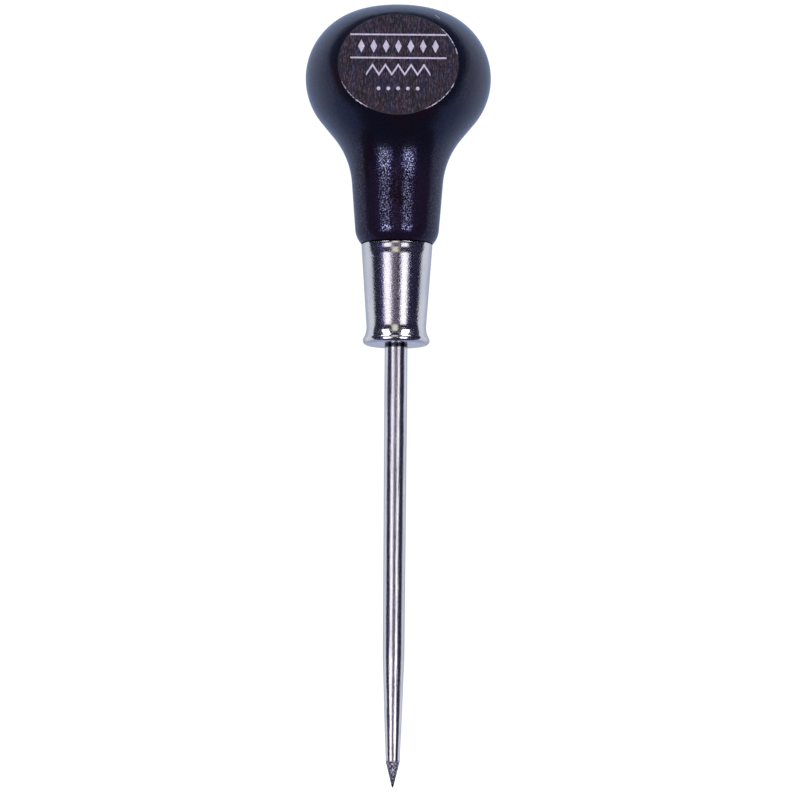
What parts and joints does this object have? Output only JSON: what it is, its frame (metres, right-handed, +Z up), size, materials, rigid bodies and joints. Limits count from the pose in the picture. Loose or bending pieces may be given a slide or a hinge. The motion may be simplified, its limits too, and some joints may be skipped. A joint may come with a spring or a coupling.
{
  "type": "scratch awl",
  "caption": "Round steel blade with a long tapered point, set through a tapered plated ferrule into a dark turned ball handle with a flat on its head.",
  "frame": {"origin": "the tip of the blade's point, on the awl's axis", "axes": "+Z up the axis from the point to the crown of the handle, -Y out of the flat on the handle's head, +X to the right when looking at the flat"},
  "size_m": [0.0368, 0.0326, 0.154],
  "materials": {
    "lacquered_wood": "gloss lacquer over dark stain, sanded matt on the flat",
    "plated_metal": "bright nickel plate",
    "ground_steel": "bright ground steel",
    "white_ink": "matt ink"
  },
  "bodies": {
    "root": {"handle": "lacquered_wood", "ferrule": "plated_metal", "blade": "ground_steel", "flat_print": "white_ink"}
  },
  "joints": []
}
